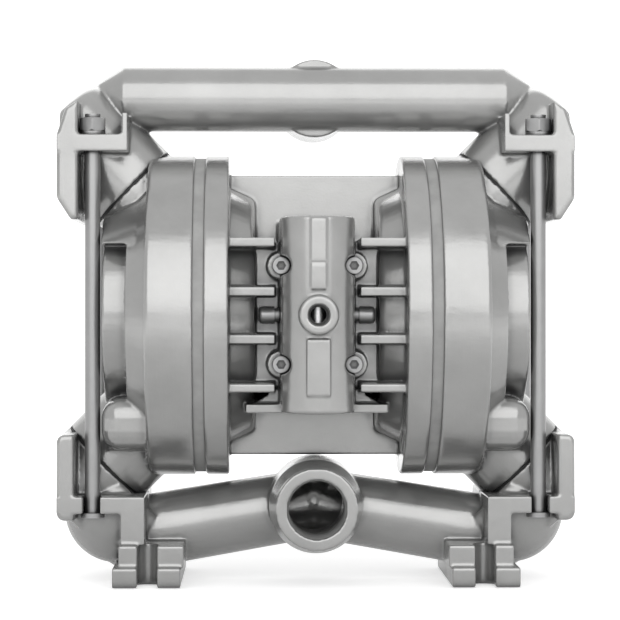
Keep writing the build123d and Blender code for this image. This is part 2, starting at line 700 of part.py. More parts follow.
# Foot: a slotted pad and block under each end of the manifold, with a saddle for its pipe
with BuildPart() as foot:
    block_half_depth = foot_half_depth - foot_block_setback
    add(block((foot_inner_x, foot_outer_x), (-foot_half_depth, foot_half_depth), (0, foot_pad_height)))
    add(block((foot_inner_x - foot_block_inset, foot_outer_x - foot_shoulder_inset),
              (-block_half_depth, block_half_depth), (foot_pad_height, foot_block_height)))
    for y in (-foot_half_depth, foot_half_depth):
        inner_end = y - math.copysign(foot_slot_depth - foot_slot_width / 2, y)
        low, high = sorted((y, inner_end))
        add(block((foot_slot_x - foot_slot_width / 2, foot_slot_x + foot_slot_width / 2), (low, high),
                  (0, foot_block_height)), mode=Mode.SUBTRACT)
        with BuildSketch(Plane(origin=(foot_slot_x, inner_end, 0))):
            Circle(foot_slot_width / 2)
        extrude(amount=foot_block_height, mode=Mode.SUBTRACT)
    add(bottom_pipe.part, mode=Mode.SUBTRACT)
    add(lower_bend.part, mode=Mode.SUBTRACT)
write_pair(foot.part, "foot")

# Seats, balls and gaskets of the four valve joints
for name, plane in (("outlet", upper_valve), ("inlet", lower_valve)):
    with BuildPart() as seat:
        extrude(disc(plane.offset(seat_floor), seat_outer_radius, seat_bore_radius), amount=seat_thickness)
    write_pair(seat.part, f"{name}_valve_seat")
    with BuildPart() as ball:
        with Locations(plane.offset(ball_rest).origin):
            Sphere(ball_radius)
    write_pair(ball.part, f"{name}_ball")
    with BuildPart() as joint_gasket:
        outer = neck_radius - 0.3
        extrude(disc(plane.offset(-half_joint), outer, outer - joint_gasket_width), amount=joint_gasket_thickness)
    write_pair(joint_gasket.part, f"{name}_joint_gasket")

# Diaphragm with a thick clamped edge and one convolution
with BuildPart() as diaphragm:
    half_web = diaphragm_thickness / 2
    half_rim = diaphragm_rim_thickness / 2
    wave_middle = (convolution_inner_radius + land_radius) / 2
    with BuildSketch(chamber_plane):
        with BuildLine():
            Line((diaphragm_x - half_web, stud_radius + seat_gap), (diaphragm_x + half_web, stud_radius + seat_gap))
            Line((diaphragm_x + half_web, stud_radius + seat_gap), (diaphragm_x + half_web, convolution_inner_radius))
            ThreePointArc(
                (diaphragm_x + half_web, convolution_inner_radius),
                (diaphragm_x + half_web + convolution_rise, wave_middle),
                (diaphragm_x + half_web, land_radius),
            )
            Polyline(
                (diaphragm_x + half_web, land_radius),
                (diaphragm_x + half_rim, land_radius),
                (diaphragm_x + half_rim, diaphragm_radius),
                (diaphragm_x - half_rim, diaphragm_radius),
                (diaphragm_x - half_rim, land_radius),
                (diaphragm_x - half_web, land_radius),
            )
            ThreePointArc(
                (diaphragm_x - half_web, land_radius),
                (diaphragm_x - half_web + convolution_rise, wave_middle),
                (diaphragm_x - half_web, convolution_inner_radius),
            )
            Line((diaphragm_x - half_web, convolution_inner_radius), (diaphragm_x - half_web, stud_radius + seat_gap))
        make_face()
    revolve(axis=chamber_axis)
    with BuildSketch(along_x(air_rim_end_x)):
        with PolarLocations(chamber_screw_circle_radius, chamber_screw_count):
            Circle(chamber_screw_radius + bolt_gap)
    extrude(amount=diaphragm_rim_thickness, mode=Mode.SUBTRACT)
write_pair(diaphragm.part, "diaphragm")

# Inner diaphragm plate, against the shaft shoulder
with BuildPart() as inner_plate:
    extrude(disc(along_x(shaft_shoulder_x), inner_plate_radius, stud_radius + seat_gap),
            amount=inner_plate_thickness)
    fillet(inner_plate.edges().filter_by(GeomType.CIRCLE).sort_by(SortBy.RADIUS)[-1], 1.5)
write_pair(inner_plate.part, "inner_diaphragm_plate")

# Outer diaphragm plate, screwed on the shaft stud
outer_plate_outline = [
    (plate_face_out, stud_radius + seat_gap),
    (plate_face_out, outer_plate_radius),
    (plate_face_out + outer_plate_rim, outer_plate_radius),
    (plate_face_out + outer_plate_height * 0.7, outer_plate_nose_radius + outer_plate_nose_flare),
    (plate_face_out + outer_plate_height, outer_plate_nose_radius),
    (plate_face_out + outer_plate_height, 0),
    (plate_face_out + stud_engagement, 0),
    (plate_face_out + stud_engagement, stud_radius + seat_gap),
]
with BuildPart() as outer_plate:
    revolve(outline(chamber_plane, outer_plate_outline), axis=chamber_axis)
write_pair(outer_plate.part, "outer_diaphragm_plate")

# Main shaft with a stud at each end
with BuildPart() as main_shaft:
    extrude(disc(along_x(0), shaft_radius), amount=shaft_shoulder_x, both=True)
    extrude(disc(along_x(0), stud_radius), amount=plate_face_out + stud_engagement - seat_gap, both=True)
write(main_shaft.part, "main_shaft")

# Shaft bushings and seals in the bore of the centre section
with BuildPart() as bushing:
    extrude(disc(along_x(bushing_start_x), housing_bore_radius - seat_gap, shaft_radius + running_gap),
            amount=bushing_length)
write_pair(bushing.part, "shaft_bushing")
with BuildPart() as shaft_seal:
    extrude(disc(along_x(bushing_start_x - shaft_seal_width), housing_bore_radius - seat_gap,
                 shaft_radius + running_gap), amount=shaft_seal_width)
write_pair(shaft_seal.part, "shaft_seal")

# Chamber screws: socket heads sunk in the inner face of the air chamber rim
with BuildPart() as chamber_screws:
    head_end_x = air_rim_x + chamber_screw_head_height + bolt_gap
    with BuildSketch(along_x(head_end_x)):
        with PolarLocations(chamber_screw_circle_radius, chamber_screw_count):
            Circle(chamber_screw_head_radius)
    extrude(amount=-chamber_screw_head_height)
    with BuildSketch(along_x(head_end_x)):
        with PolarLocations(chamber_screw_circle_radius, chamber_screw_count):
            Circle(chamber_screw_radius)
    extrude(amount=water_rim_x + chamber_screw_grip - head_end_x)
    with BuildSketch(along_x(head_end_x - chamber_screw_head_height)):
        with PolarLocations(chamber_screw_circle_radius, chamber_screw_count):
            RegularPolygon(chamber_screw_head_radius * hex_socket_share, 6)
    extrude(amount=chamber_screw_head_height / 2, mode=Mode.SUBTRACT)
write_pair(chamber_screws.part, "chamber_screws")

# Clamp rods: long bolts with a thin round head under the lower lug, washers and nuts on the upper one
rod_places = [(x, y) for x in (-rod_x, rod_x) for y in (-rod_y, rod_y)]
nut_z = upper_lug_top_z + washer_thickness
with BuildPart() as clamp_rods:
    with BuildSketch(Plane.XY.offset(lower_lug_z)):
        with Locations(*rod_places):
            Circle(rod_head_radius)
    extrude(amount=-rod_head_thickness)
    with BuildSketch(Plane.XY.offset(lower_lug_z)):
        with Locations(*rod_places):
            Circle(rod_radius)
    extrude(amount=nut_z + nut_height + rod_end_above_nut - lower_lug_z)
write(clamp_rods.part, "clamp_rods")
with BuildPart() as clamp_nuts:
    with BuildSketch(Plane.XY.offset(nut_z)):
        with Locations(*rod_places):
            RegularPolygon(nut_width / 2, 6, major_radius=False, rotation=90)
            Circle(rod_radius + seat_gap, mode=Mode.SUBTRACT)
    extrude(amount=nut_height)
write(clamp_nuts.part, "clamp_nuts")
with BuildPart() as clamp_washers:
    with BuildSketch(Plane.XY.offset(upper_lug_top_z)):
        with Locations(*rod_places):
            Circle(washer_radius)
            Circle(bolt_hole_radius, mode=Mode.SUBTRACT)
    extrude(amount=washer_thickness)
write(clamp_washers.part, "clamp_washers")

# Air valve body: an upright bore with a round front, screw ears and the air inlet boss
with BuildPart() as air_valve_body:
    with BuildSketch(Plane.XY.offset(valve_bottom_z)):
        with BuildLine():
            ThreePointArc((-valve_half_width, valve_bore_y), (0, valve_front_y), (valve_half_width, valve_bore_y))
            Polyline(
                (valve_half_width, valve_bore_y),
                (valve_half_width, valve_back_y),
                (-valve_half_width, valve_back_y),
                (-valve_half_width, valve_bore_y),
            )
        make_face()
    extrude(amount=valve_height)
    end_edges = air_valve_body.edges().group_by(Axis.Z)
    fillet(end_edges[0] + end_edges[-1], valve_edge_round)
    rib_top_z = valve_top_z - valve_edge_round
    proud_y = valve_front_y - valve_rib_proud
    with BuildSketch(facing_front(proud_y)):
        with Locations((0, rib_top_z - valve_rib_length / 2)):
            Rectangle(2 * valve_rib_half_width, valve_rib_length)
        with Locations((0, rib_top_z - valve_rib_notch_drop)):
            Rectangle(2 * valve_rib_half_width, valve_rib_notch, mode=Mode.SUBTRACT)
        with Locations((0, valve_bottom_z + valve_pad_bottom + valve_pad_length / 2)):
            Rectangle(2 * valve_pad_half_width, valve_pad_length)
    extrude(amount=-(valve_back_wall + valve_rib_proud))
    with BuildSketch(facing_front(air_boss_face_y, z=chamber_axis_z)):
        Circle(air_boss_radius)
    extrude(amount=air_boss_face_y - valve_bore_y)
    chamfer(air_valve_body.faces().sort_by(Axis.Y)[0].edges(), 0.8)
    for x, z in screw_places:
        with BuildSketch(facing_front(valve_back_y, x, chamber_axis_z + z)):
            Circle(valve_ear_radius)
        extrude(amount=valve_ear_thickness)
    extrude(disc(Plane((0, valve_bore_y, valve_bottom_z)), valve_bore_radius), amount=valve_height,
            mode=Mode.SUBTRACT)
    for z in (valve_bottom_z + ring_inset, valve_top_z - ring_inset - ring_thickness):
        extrude(disc(Plane((0, valve_bore_y, z)), valve_bore_radius + ring_radial), amount=ring_thickness,
                mode=Mode.SUBTRACT)
    with BuildSketch(facing_front(air_boss_face_y, z=chamber_axis_z)):
        Circle(air_hole_radius)
    extrude(amount=-air_thread_depth, mode=Mode.SUBTRACT)
    with BuildSketch(facing_front(air_boss_face_y, z=chamber_axis_z)):
        Circle(air_passage_radius)
    extrude(amount=air_boss_face_y - valve_bore_y, mode=Mode.SUBTRACT)
    for side in (-1, 1):
        with BuildSketch(facing_front(valve_back_y, side * column_half_width / 2, chamber_axis_z)):
            Circle(passage_radius)
        extrude(amount=valve_back_wall + valve_bore_radius, mode=Mode.SUBTRACT)
    for x, z in screw_places:
        with BuildSketch(facing_front(valve_back_y, x, chamber_axis_z + z)):
            Circle(valve_screw_radius + bolt_gap)
        extrude(amount=valve_ear_thickness, mode=Mode.SUBTRACT)
        with BuildSketch(facing_front(valve_ear_front_y, x, chamber_axis_z + z)):
            Circle(valve_screw_head_radius + bolt_gap)
        extrude(amount=valve_ear_front_y - valve_front_y, mode=Mode.SUBTRACT)
write(air_valve_body.part, "air_valve_body")

# Gasket between the air valve and its column
with BuildPart() as air_valve_gasket:
    with BuildSketch(facing_front(column_front_y, z=chamber_axis_z)):
        with Locations((0, valve_bottom_z + valve_height / 2 - chamber_axis_z)):
            Rectangle(2 * (valve_half_width - 0.3), valve_height - 2 * valve_edge_round)
        with Locations(*screw_places):
            Circle(valve_ear_radius - 0.3)
            Circle(valve_screw_radius + bolt_gap, mode=Mode.SUBTRACT)
        with Locations((-column_half_width / 2, 0), (column_half_width / 2, 0)):
            Circle(passage_radius, mode=Mode.SUBTRACT)
    extrude(amount=valve_gasket_thickness)
write(air_valve_gasket.part, "air_valve_gasket")

# Socket head screws of the air valve
with BuildPart() as air_valve_screws:
    with BuildSketch(facing_front(valve_ear_front_y, z=chamber_axis_z)):
        with Locations(*screw_places):
            Circle(valve_screw_head_radius)
    extrude(amount=valve_screw_head_height)
    chamfer(air_valve_screws.faces().group_by(Axis.Y)[0].edges(), 0.5)
    with BuildSketch(facing_front(valve_ear_front_y, z=chamber_axis_z)):
        with Locations(*screw_places):
            Circle(valve_screw_radius)
    extrude(amount=-(valve_ear_thickness + valve_gasket_thickness + valve_screw_grip))
    with BuildSketch(facing_front(valve_ear_front_y - valve_screw_head_height, z=chamber_axis_z)):
        with Locations(*screw_places):
            RegularPolygon(valve_screw_head_radius * hex_socket_share, 6)
    extrude(amount=-valve_screw_head_height / 2, mode=Mode.SUBTRACT)
write(air_valve_screws.part, "air_valve_screws")

# Air valve piston between two end caps, each held by a retaining ring
lower_cap_z = valve_bottom_z + ring_inset + ring_thickness
upper_cap_z = valve_top_z - ring_inset - ring_thickness - cap_thickness
piston_bottom_z = lower_cap_z + cap_thickness + running_gap
piston_length = upper_cap_z - piston_bottom_z - piston_travel - running_gap
for name, z in (("lower", lower_cap_z), ("upper", upper_cap_z)):
    with BuildPart() as valve_cap:
        extrude(disc(Plane((0, valve_bore_y, z)), valve_bore_radius - seat_gap), amount=cap_thickness)
    write(valve_cap.part, f"{name}_valve_cap")
with BuildPart() as retaining_rings:
    for z in (lower_cap_z - ring_thickness, upper_cap_z + cap_thickness):
        ring_radius = valve_bore_radius + ring_radial - seat_gap
        extrude(disc(Plane((0, valve_bore_y, z)), ring_radius, ring_radius - 2 * ring_radial), amount=ring_thickness)
write(retaining_rings.part, "retaining_rings")
land_radius_valve = valve_bore_radius - running_gap
piston_outline = [
    (0, piston_bottom_z),
    (land_radius_valve, piston_bottom_z),
    (land_radius_valve, piston_bottom_z + piston_land),
    (piston_waist_radius, piston_bottom_z + piston_land),
    (piston_waist_radius, piston_bottom_z + piston_length - piston_land),
    (land_radius_valve, piston_bottom_z + piston_length - piston_land),
    (land_radius_valve, piston_bottom_z + piston_length),
    (0, piston_bottom_z + piston_length),
]
with BuildPart() as air_valve_piston:
    revolve(outline(valve_section, piston_outline), axis=valve_axis)
write(air_valve_piston.part, "air_valve_piston")

# Plugs in the cross drillings, one on each side of the valve column
with BuildPart() as passage_plug:
    extrude(disc(along_x(rib_inner_x, plug_y), plug_radius), amount=plug_length)
    fillet(passage_plug.faces().sort_by(Axis.X)[-1].edges(), plug_end_round)
    extrude(disc(along_x(rib_inner_x, plug_y), plug_radius - 1), amount=column_half_width - rib_inner_x)
write_pair(passage_plug.part, "passage_plug")
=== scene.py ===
"""Air operated diaphragm pump, dressed for a studio picture.

Lengths are metres. +X points to the right-hand chamber, -Y to the front with the air valve, +Z up, and the pump
stands on Z = 0.
"""
import json
import logging
import math
from dataclasses import dataclass
from enum import Enum

import bpy
from mathutils import Matrix, Vector


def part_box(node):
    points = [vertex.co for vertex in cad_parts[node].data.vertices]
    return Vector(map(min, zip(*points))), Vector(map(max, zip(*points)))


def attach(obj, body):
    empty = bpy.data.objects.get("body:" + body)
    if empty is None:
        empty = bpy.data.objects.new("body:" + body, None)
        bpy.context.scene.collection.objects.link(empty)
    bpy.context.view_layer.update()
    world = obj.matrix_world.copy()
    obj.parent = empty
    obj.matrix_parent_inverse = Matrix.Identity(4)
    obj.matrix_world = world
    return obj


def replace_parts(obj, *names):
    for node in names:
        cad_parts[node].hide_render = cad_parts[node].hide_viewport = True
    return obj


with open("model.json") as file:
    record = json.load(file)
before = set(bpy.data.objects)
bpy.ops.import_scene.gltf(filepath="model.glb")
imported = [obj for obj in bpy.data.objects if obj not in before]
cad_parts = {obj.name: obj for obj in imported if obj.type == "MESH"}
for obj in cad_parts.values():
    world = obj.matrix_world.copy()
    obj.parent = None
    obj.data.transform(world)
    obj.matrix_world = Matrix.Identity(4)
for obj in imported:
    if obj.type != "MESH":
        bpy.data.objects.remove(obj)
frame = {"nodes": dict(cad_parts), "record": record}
log = logging.getLogger("pump")

MM = 0.001
PUMP = "pump_body"
# Most of a noise texture's values lie between these two
NOISE_SPAN = (0.3, 0.7)


# Small helpers


def linear(hex_colour: str) -> tuple[float, float, float, float]:
    """Turn an sRGB hex colour into the linear values that shaders take.

    Args:
        hex_colour: colour such as "#a0a0a0".

    Returns:
        Red, green, blue and an alpha of 1.
    """
    parts = [int(hex_colour[i:i + 2], 16) / 255 for i in (1, 3, 5)]
    red, green, blue = [p / 12.92 if p <= 0.04045 else ((p + 0.055) / 1.055) ** 2.4 for p in parts]
    return red, green, blue, 1.0


def add_node(tree: bpy.types.NodeTree, kind: str, values: dict | None = None, links: dict | None = None,
             **settings: object) -> bpy.types.Node:
    """Add a node to a tree with its settings, socket values and links.

    Args:
        tree: node tree of a material or a world.
        kind: Blender's name of the node type.
        values: value of each input that isn't linked, by its name or number.
        links: output socket that feeds each linked input.
        **settings: properties of the node itself.

    Returns:
        The new node.
    """
    node = tree.nodes.new(kind)
    for name, value in settings.items():
        setattr(node, name, value)
    for key, value in (values or {}).items():
        node.inputs[key].default_value = value
    for key, socket in (links or {}).items():
        tree.links.new(socket, node.inputs[key])
    return node


def new_tree(name: str) -> tuple[bpy.types.Material, bpy.types.NodeTree]:
    """Make an empty node material.

    Args:
        name: what the material is called.

    Returns:
        The material and its node tree.
    """
    material = bpy.data.materials.new(name)
    material.use_nodes = True
    material.node_tree.nodes.clear()
    return material, material.node_tree


def remap(tree: bpy.types.NodeTree, value: bpy.types.NodeSocket, target: tuple[float, float],
          source: tuple[float, float] = NOISE_SPAN, curve: str = "LINEAR") -> bpy.types.NodeSocket:
    """Map a value from one span to another, clamped at both ends.

    Args:
        tree: node tree of a material or a world.
        value: output socket with the value.
        target: what the ends of the source span become.
        source: span that the value comes from.
        curve: Blender's name of the interpolation.

    Returns:
        Output socket with the mapped value.
    """
    spans = {"From Min": source[0], "From Max": source[1], "To Min": target[0], "To Max": target[1]}
    return add_node(tree, "ShaderNodeMapRange", spans, {"Value": value}, interpolation_type=curve).outputs["Result"]


def combine(tree: bpy.types.NodeTree, operation: str, first: bpy.types.NodeSocket,
            second: bpy.types.NodeSocket | float) -> bpy.types.NodeSocket:
    """Combine a value with another value or a constant.

    Args:
        tree: node tree of a material or a world.
        operation: Blender's name of the operation.
        first: output socket with the first value.
        second: output socket with the second value, or a constant.

    Returns:
        Output socket with the outcome.
    """
    constant = isinstance(second, float)
    return add_node(tree, "ShaderNodeMath", {1: second} if constant else None,
                    {0: first} if constant else {0: first, 1: second}, operation=operation).outputs["Value"]


def deselect_all() -> None:
    """Leave object mode with nothing selected."""
    if bpy.context.object and bpy.context.object.mode != "OBJECT":
        bpy.ops.object.mode_set(mode="OBJECT")
    bpy.ops.object.select_all(action="DESELECT")


def make_active(piece: bpy.types.Object) -> None:
    """Select one object alone and make it the active one.

    Args:
        piece: object to select.
    """
    deselect_all()
    piece.select_set(True)
    bpy.context.view_layer.objects.active = piece


def apply_modifier(piece: bpy.types.Object, kind: str, **settings: object) -> None:
    """Add a modifier to a piece and apply it straight away.

    Args:
        piece: mesh object.
        kind: Blender's name of the modifier type.
        **settings: properties of the modifier.
    """
    make_active(piece)
    modifier = piece.modifiers.new(kind.title(), kind)
    for name, value in settings.items():
        setattr(modifier, name, value)
    bpy.ops.object.modifier_apply(modifier=modifier.name)


def settle(piece: bpy.types.Object) -> None:
    """Put a piece's place, turn and scale into its mesh."""
    make_active(piece)
    bpy.ops.object.transform_apply(location=True, rotation=True, scale=True)


def tidy_mesh(piece: bpy.types.Object, gap: float = 2e-6) -> None:
    """Merge doubled vertices and turn all faces outwards.

    Args:
        piece: mesh object.
        gap: vertices nearer than this become one.
    """
    make_active(piece)
    bpy.ops.object.mode_set(mode="EDIT")
    bpy.ops.mesh.select_all(action="SELECT")
    bpy.ops.mesh.remove_doubles(threshold=gap)
    bpy.ops.mesh.normals_make_consistent(inside=False)
    bpy.ops.object.mode_set(mode="OBJECT")


def paint(piece: bpy.types.Object, material: bpy.types.Material) -> None:
    """Give a piece one material all over."""
    piece.data.materials.clear()
    piece.data.materials.append(material)


def carry(piece: bpy.types.Object, name: str, body: str = PUMP) -> bpy.types.Object:
    """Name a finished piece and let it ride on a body.

    Args:
        piece: finished mesh object at the origin.
        name: piece name.
        body: body that it moves with.

    Returns:
        The same piece.
    """
    piece.name = name
    piece.data.name = name
    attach(piece, body)
    log.info("%s: %d faces, rides on %s", name, len(piece.data.polygons), body)
    return piece


def copy_of(piece: bpy.types.Object, name: str) -> bpy.types.Object:
    """Copy a piece with a mesh of its own.

    Args:
        piece: object to copy.
        name: name of the copy.

    Returns:
        The copy, where the piece is.
    """
    other = bpy.data.objects.new(name, piece.data.copy())
    bpy.context.scene.collection.objects.link(other)
    other.matrix_world = piece.matrix_world
    return other


# Finishes


@dataclass(frozen=True)
class CastMetal:
    """Sand cast aluminium, bead blasted: satin grey with a fine pebbled skin and slow waves from the mould.

    The blasted skin scatters part of the light as a matt surface does, so it isn't a full mirror metal.
    """

    name: str = "aluminium_sand_cast_bead_blasted"
    colour: str = "#9d9d9c"
    # Colour of the painted shade in corners
    corner_shade_colour: str = "#6a6a6a"
    metallic: float = 0.6
    roughness: float = 0.2
    # Spread of the roughness and of the brightness over the skin, which is mottled a few centimetres apart
    gloss_spread: tuple[float, float] = (-0.04, 0.05)
    mottling: tuple[float, float] = (0.9, 1.08)
    # Size of a mould wave over the size of a mottled patch
    wave_to_mottle: float = 0.22
    # Blasting grit is finer, but a grain under a millimetre doesn't show in the picture
    grain: float = 1.1 * MM
    grain_height: float = 0.045 * MM
    wave: float = 9.0 * MM
    wave_height: float = 0.07 * MM
    # Painted shade: how far away a wall still darkens a corner, and how open a place is where it is darkest and
    # where not at all
    crevice_reach: float = 7.0 * MM
    crevice_span: tuple[float, float] = (0.35, 0.95)
    # Seam of the two mould halves, a low ridge round the middle of the casting
    seam_flank: tuple[float, float] = (0.27 * MM, 0.63 * MM)
    seam_height: float = 0.12 * MM
    # The rims are skimmed on a lathe, which leaves faint rings round the chamber axis
    axis_height: float = 139.0 * MM
    rim_inner: float = 77.0 * MM
    rim_outer: float = 85.0 * MM
    ring_pitch: float = 1.3 * MM
    ring_stretch: float = 0.03
    ring_height: float = 0.035 * MM

    def material(self) -> bpy.types.Material:
        """Build the material.

        Returns:
            Material with blasted grain, mould waves, a mould seam, soft mottling and painted shade in the corners.
        """
        material, tree = new_tree(self.name)
        place = add_node(tree, "ShaderNodeTexCoord").outputs["Object"]
        mottle = add_node(tree, "ShaderNodeTexNoise",
                          {"Scale": self.wave_to_mottle / self.wave, "Detail": 5.0, "Roughness": 0.62},
                          {"Vector": place}).outputs["Fac"]
        gloss = tuple(self.roughness + step for step in self.gloss_spread)
        shader = add_node(tree, "ShaderNodeBsdfPrincipled", {"Metallic": self.metallic},
                          {"Base Color": self.shade(tree, mottle), "Roughness": remap(tree, mottle, gloss),
                           "Normal": self.surface(tree, place)})
        add_node(tree, "ShaderNodeOutputMaterial", None, {"Surface": shader.outputs["BSDF"]})
        return material

    def shade(self, tree: bpy.types.NodeTree, mottle: bpy.types.NodeSocket) -> bpy.types.NodeSocket:
        """Mix the colour of open faces with the painted shade of the corners and mottle it.

        Args:
            tree: node tree of the material.
            mottle: noise that brightens and darkens the skin.

        Returns:
            Output socket with the colour.
        """
        # Painted shade: ambient occlusion darkens the colour towards the shade colour in corners
        hollow = add_node(tree, "ShaderNodeAmbientOcclusion", {"Distance": self.crevice_reach}, samples=8)
        depth = remap(tree, hollow.outputs["AO"], (0.0, 1.0), self.crevice_span, "SMOOTHSTEP")
        body = add_node(tree, "ShaderNodeMix", {"A": linear(self.corner_shade_colour), "B": linear(self.colour)},
                        {"Factor": depth}, data_type="RGBA")
        return add_node(tree, "ShaderNodeVectorMath", None,
                        {0: body.outputs["Result"], "Scale": remap(tree, mottle, self.mottling)},
                        operation="SCALE").outputs["Vector"]

    def surface(self, tree: bpy.types.NodeTree, place: bpy.types.NodeSocket) -> bpy.types.NodeSocket:
        """Lay mould waves, the mould seam, blasted grain and lathe rings over each other.

        Args:
            tree: node tree of the material.
            place: object coordinates.

        Returns:
            Output socket with the normal.
        """
        wave = add_node(tree, "ShaderNodeTexNoise", {"Scale": 1 / self.wave, "Detail": 2.0}, {"Vector": place})
        across = add_node(tree, "ShaderNodeSeparateXYZ", None, {"Vector": place})
        from_middle = add_node(tree, "ShaderNodeMath", None, {0: across.outputs["Y"]}, operation="ABSOLUTE")
        ridge = remap(tree, from_middle.outputs["Value"], (1.0, 0.0), self.seam_flank, "SMOOTHSTEP")
        grain = add_node(tree, "ShaderNodeTexNoise", {"Scale": 1 / self.grain, "Detail": 3.0, "Roughness": 0.6},
                         {"Vector": place})
        normal = None
        for height, source in ((self.wave_height, wave.outputs["Fac"]), (self.seam_height, ridge),
                               (self.grain_height, grain.outputs["Fac"])):
            below = {"Normal": normal} if normal else {}
            normal = add_node(tree, "ShaderNodeBump", {"Strength": 1.0, "Distance": height},
                              {"Height": source} | below).outputs["Normal"]
        stretched = add_node(tree, "ShaderNodeMapping", {"Scale": (1.0, self.ring_stretch, self.ring_stretch)},
                             {"Vector": place})
        rings = add_node(tree, "ShaderNodeTexNoise", {"Scale": 1 / self.ring_pitch, "Detail": 2.0},
                         {"Vector": stretched.outputs["Vector"]})
        return add_node(tree, "ShaderNodeBump", {"Distance": self.ring_height},
                        {"Strength": self.rim_mask(tree, place), "Height": rings.outputs["Fac"],
                         "Normal": normal}).outputs["Normal"]

    def rim_mask(self, tree: bpy.types.NodeTree, place: bpy.types.NodeSocket) -> bpy.types.NodeSocket:
        """Mark the skimmed rims by their distance from the chamber axis.

        Args:
            tree: node tree of the material.
            place: object coordinates.

        Returns:
            Output socket with 1 on the rims and 0 elsewhere.
        """
        from_axis = add_node(tree, "ShaderNodeMapping", {"Location": (0.0, 0.0, -self.axis_height),
                                                         "Scale": (0.0, 1.0, 1.0)}, {"Vector": place})
        radius = add_node(tree, "ShaderNodeVectorMath", None, {0: from_axis.outputs["Vector"]},
                          operation="LENGTH").outputs["Value"]
        outside = combine(tree, "GREATER_THAN", radius, self.rim_inner)
        inside = combine(tree, "LESS_THAN", radius, self.rim_outer)
        return combine(tree, "MULTIPLY", outside, inside)


@dataclass(frozen=True)
class TurnedMetal:
    """Machined metal: brighter than the castings, with fine tool marks."""

    name: str
    colour: str
    roughness: float = 0.24
    metallic: float = 1.0
    # Tool marks are finer than this, but wouldn't show
    tool_pitch: float = 0.6 * MM
    mark_height: float = 0.004 * MM
    mark_stretch: float = 0.08
    stain_scale: float = 140.0
    gloss_spread: tuple[float, float] = (-0.03, 0.04)
    staining: tuple[float, float] = (0.95, 1.03)
    # Painted shade darkens the colour where walls are near, as in screw sockets
    crevice_reach: float = 3.0 * MM
    crevice_span: tuple[float, float] = (0.5, 0.85)
    socket_shade_level: float = 0.22

    def material(self) -> bpy.types.Material:
        """Build the material.

        Returns:
            Material with fine stretched tool marks, a little stain and painted shade in its sockets and corners.
        """
        material, tree = new_tree(self.name)
        place = add_node(tree, "ShaderNodeTexCoord").outputs["Object"]
        turned = add_node(tree, "ShaderNodeMapping", {"Scale": (1.0, 1.0, self.mark_stretch)}, {"Vector": place})
        marks = add_node(tree, "ShaderNodeTexNoise", {"Scale": 1 / self.tool_pitch, "Detail": 3.0},
                         {"Vector": turned.outputs["Vector"]})
        stain = add_node(tree, "ShaderNodeTexNoise", {"Scale": self.stain_scale, "Detail": 4.0},
                         {"Vector": place}).outputs["Fac"]
        gloss = tuple(self.roughness + step for step in self.gloss_spread)
        # Painted shade: the colour darkens where walls are near
        hollow = add_node(tree, "ShaderNodeAmbientOcclusion", {"Distance": self.crevice_reach}, samples=8)
        socket_shade = remap(tree, hollow.outputs["AO"], (self.socket_shade_level, 1.0), self.crevice_span, "SMOOTHSTEP")
        level = combine(tree, "MULTIPLY", remap(tree, stain, self.staining), socket_shade)
        shade = add_node(tree, "ShaderNodeVectorMath", {0: linear(self.colour)[:3]}, {"Scale": level},
                         operation="SCALE")
        bump = add_node(tree, "ShaderNodeBump", {"Strength": 1.0, "Distance": self.mark_height},
                        {"Height": marks.outputs["Fac"]})
        shader = add_node(tree, "ShaderNodeBsdfPrincipled", {"Metallic": self.metallic},
                          {"Base Color": shade.outputs["Vector"], "Roughness": remap(tree, stain, gloss),
                           "Normal": bump.outputs["Normal"]})
        add_node(tree, "ShaderNodeOutputMaterial", None, {"Surface": shader.outputs["BSDF"]})
        return material


@dataclass(frozen=True)
class MouldedPolymer:
    """Moulded rubber or plastic: not metallic, with a faint mould texture."""

    name: str
    colour: str
    roughness: float
    grain: float = 0.8 * MM
    grain_height: float = 0.02 * MM
    bloom_scale: float = 90.0
    gloss_spread: tuple[float, float] = (-0.08, 0.08)
    blooming: tuple[float, float] = (0.85, 1.15)
    # Painted shade darkens the edge where it sits between two castings
    crevice_reach: float = 1.6 * MM
    crevice_span: tuple[float, float] = (0.35, 0.9)
    edge_shade_level: float = 0.12

    def material(self) -> bpy.types.Material:
        """Build the material.

        Returns:
            Material with mould grain, slightly uneven gloss and painted shade on its edges between the castings.
        """
        material, tree = new_tree(self.name)
        place = add_node(tree, "ShaderNodeTexCoord").outputs["Object"]
        grain = add_node(tree, "ShaderNodeTexNoise", {"Scale": 1 / self.grain, "Detail": 3.0}, {"Vector": place})
        bloom = add_node(tree, "ShaderNodeTexNoise", {"Scale": self.bloom_scale, "Detail": 4.0},
                         {"Vector": place}).outputs["Fac"]
        gloss = tuple(self.roughness + step for step in self.gloss_spread)
        # Painted shade: the colour darkens where the castings are near
        edge_occlusion = add_node(tree, "ShaderNodeAmbientOcclusion", {"Distance": self.crevice_reach}, samples=8)
        shadow = remap(tree, edge_occlusion.outputs["AO"], (self.edge_shade_level, 1.0), self.crevice_span)
        level = combine(tree, "MULTIPLY", remap(tree, bloom, self.blooming), shadow)
        shade = add_node(tree, "ShaderNodeVectorMath", {0: linear(self.colour)[:3]}, {"Scale": level},
                         operation="SCALE")
        bump = add_node(tree, "ShaderNodeBump", {"Strength": 1.0, "Distance": self.grain_height},
                        {"Height": grain.outputs["Fac"]})
        shader = add_node(tree, "ShaderNodeBsdfPrincipled", {"Metallic": 0.0},
                          {"Base Color": shade.outputs["Vector"], "Roughness": remap(tree, bloom, gloss),
                           "Normal": bump.outputs["Normal"]})
        add_node(tree, "ShaderNodeOutputMaterial", None, {"Surface": shader.outputs["BSDF"]})
        return material


